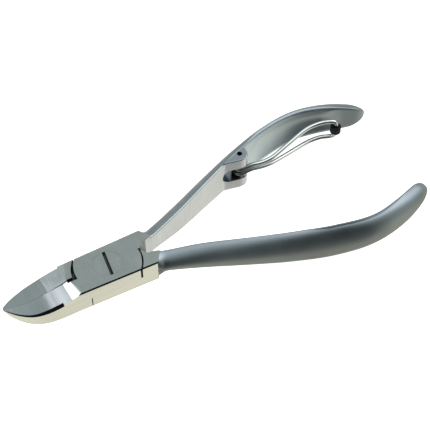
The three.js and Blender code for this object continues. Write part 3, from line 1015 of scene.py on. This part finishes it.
def paint_lever(obj, materials, side):
    """Gives each face of a lever the finish of its region; side is the side of the handle."""
    names = list(materials)
    for name in names:
        obj.data.materials.append(materials[name])
    for face in obj.data.polygons:
        x, y, z = (c / MM for c in face.center)
        n = face.normal
        on_top = n.z > FLAT and abs(z - THICKNESS) < 0.01
        if x < HEAD_REAR_X + SKIN or on_top and x < BLOCK_END_X:
            kind = head_finish(x, y, z, n)
        else:
            kind = handle_finish(x, y, z, n, side)
        face.material_index = names.index(kind)


def wire_steel():
    """Polished steel, with painted shade where the eyes sit inside the lug."""
    shade_ramps = [("X", 58.0, 54.0, 0.25)]
    return steel("wire_steel", (0.64, 0.65, 0.63), (0.70, 0.71, 0.69), (0.10, 0.16), LONG_LINES, 0.1, shade_ramps)


def rubber():
    """Matt black rubber with a fine texture."""
    material, tree, shader = new_material("black_sleeve")
    share = spread(tree, noise(tree, 1500.0), 0.0, 1.0)
    tint = blend(tree, share, (0.004, 0.004, 0.005), (0.012, 0.012, 0.013))
    tree.links.new(tint, shader.inputs["Base Color"])
    tree.links.new(spread(tree, noise(tree, 900.0), 0.6, 0.8), shader.inputs["Roughness"])
    shader.inputs["Specular IOR Level"].default_value = 0.2
    roughen(tree, shader, noise(tree, 2500.0), 0.5, 0.00005)
    return material


# ---------------------------------------------------------------- studio

# Viewpoint: angles in degrees, lengths in millimetres
CAMERA_ELEVATION = 52.43
CAMERA_AZIMUTH = 28.31
CAMERA_DISTANCE = 350.0
CAMERA_LENS = 102.0
CAMERA_SENSOR = 36.0
# The middle of the view, measured across the picture from the top of the pivot
VIEW_RIGHT = 30.845
VIEW_UP = 13.853
FLOOR_HALF_METRES = 3.0


def make_camera():
    """Looks down at the tool from -Y and -X, with the jaws at the lower left."""
    elevation, azimuth = math.radians(CAMERA_ELEVATION), math.radians(CAMERA_AZIMUTH)
    rise, level = math.sin(elevation), math.cos(elevation)
    right = Vector((math.cos(azimuth), -math.sin(azimuth), 0))
    up = Vector((rise * math.sin(azimuth), rise * math.cos(azimuth), level))
    back = right.cross(up)
    data = bpy.data.cameras.new("camera")
    data.lens, data.sensor_width = CAMERA_LENS, CAMERA_SENSOR
    data.clip_start, data.clip_end = 0.01, 20.0
    camera = bpy.data.objects.new("camera", data)
    bpy.context.scene.collection.objects.link(camera)
    place = Vector((0, 0, THICKNESS)) + right * VIEW_RIGHT + up * VIEW_UP + back * CAMERA_DISTANCE
    turn = Matrix((right, up, back)).transposed().to_4x4()
    camera.matrix_world = Matrix.Translation(place * MM) @ turn
    bpy.context.scene.camera = camera


def make_floor():
    """A plain white floor that neither shades the tool nor shows in its metal."""
    low, size = cad_low.z, FLOOR_HALF_METRES
    corners = [(-size, -size, low), (size, -size, low), (size, size, low), (-size, size, low)]
    mesh = bpy.data.meshes.new("floor")
    mesh.from_pydata(corners, [], [(0, 1, 2, 3)])
    floor = bpy.data.objects.new("floor", mesh)
    bpy.context.scene.collection.objects.link(floor)
    material, tree, shader = new_material("floor")
    shader.inputs["Base Color"].default_value = (0.8, 0.79, 0.76, 1)
    shader.inputs["Roughness"].default_value = 0.9
    shader.inputs["Emission Color"].default_value = (1.0, 1.0, 1.0, 1)
    shader.inputs["Emission Strength"].default_value = 1.0
    mesh.materials.append(material)
    floor.visible_glossy = False
    floor.visible_shadow = False


# Parts of the light tent round the tool: direction, cosines where a part starts and is full, colour
TENT = [
    ((0.20, 0.10, -0.97), 0.05, 0.45, (0.97, 0.96, 0.80)),
    ((0.00, -0.93, -0.36), 0.80, 0.95, (0.05, 0.06, 0.07)),
    ((0.00, -0.97, 0.22), 0.74, 0.92, (0.010, 0.013, 0.018)),
    ((-0.46, 0.38, 0.80), 0.947, 0.978, (3.0, 3.0, 3.05)),
    ((0.35, -0.08, 0.93), 0.86, 0.965, (1.6, 1.7, 1.8)),
    ((0.80, 0.02, 0.60), 0.88, 0.97, (2.4, 2.5, 2.6)),
]
TENT_BASE = (0.52, 0.58, 0.57)


def make_world():
    """Soft light from all round, with brighter and darker parts that the metal mirrors."""
    world = bpy.data.worlds.new("tent")
    bpy.context.scene.world = world
    world.use_nodes = True
    tree = world.node_tree
    background = tree.nodes["Background"]
    place = node(tree, "ShaderNodeTexCoord")
    colour = None
    for direction, start, full, tint in TENT:
        dot = node(tree, "ShaderNodeVectorMath", operation="DOT_PRODUCT")
        dot.inputs[1].default_value = Vector(direction).normalized()
        tree.links.new(place.outputs["Generated"], dot.inputs[0])
        share = ranged(tree, dot.outputs["Value"], start, full, 0.0, 1.0, "SMOOTHSTEP")
        mix = node(tree, "ShaderNodeMix", data_type="RGBA")
        if colour is None:
            mix.inputs["A"].default_value = (*TENT_BASE, 1)
        else:
            tree.links.new(colour, mix.inputs["A"])
        mix.inputs["B"].default_value = (*tint, 1)
        tree.links.new(share, mix.inputs["Factor"])
        colour = mix.outputs["Result"]
    tree.links.new(colour, background.inputs["Color"])
    background.inputs["Strength"].default_value = 1.0


# ---------------------------------------------------------------- assembly

def main():
    """Builds every piece, gives it its finish and ties it to the CAD."""
    scene = bpy.context.scene
    scene.view_settings.view_transform = "Standard"
    make_camera()
    make_world()
    make_floor()
    materials = make_materials()

    lever = spring_lever()
    paint_lever(lever, materials, 1)
    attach(lever, "spring_lever")
    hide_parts("spring_lever")

    other = plain_lever()
    paint_lever(other, materials, -1)
    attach(other, "plain_lever")
    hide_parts("plain_lever")

    screw = pivot_screw()
    screw.data.materials.append(materials["satin"])
    screw.data.materials.append(materials["painted_cavity_shade"])
    # Painted shade: near black on the screw below its top face, in the driver slot and down its sides
    for face in screw.data.polygons:
        face.material_index = int(face.center.z / MM < THICKNESS - SCREW_UNSHADED_DEPTH)
    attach(screw, "plain_lever")
    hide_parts("pivot_screw")

    pin = spring_pin()
    pin.data.materials.append(materials["polished"])
    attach(pin, "spring_lever")
    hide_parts("spring_pin")

    wire = wire_spring()
    wire.data.materials.append(wire_steel())
    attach(wire, "wire_spring")
    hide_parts("wire_spring")

    roller = spring_roller()
    roller.data.materials.append(rubber())
    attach(roller, "spring_roller")
    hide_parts("spring_roller")


main()
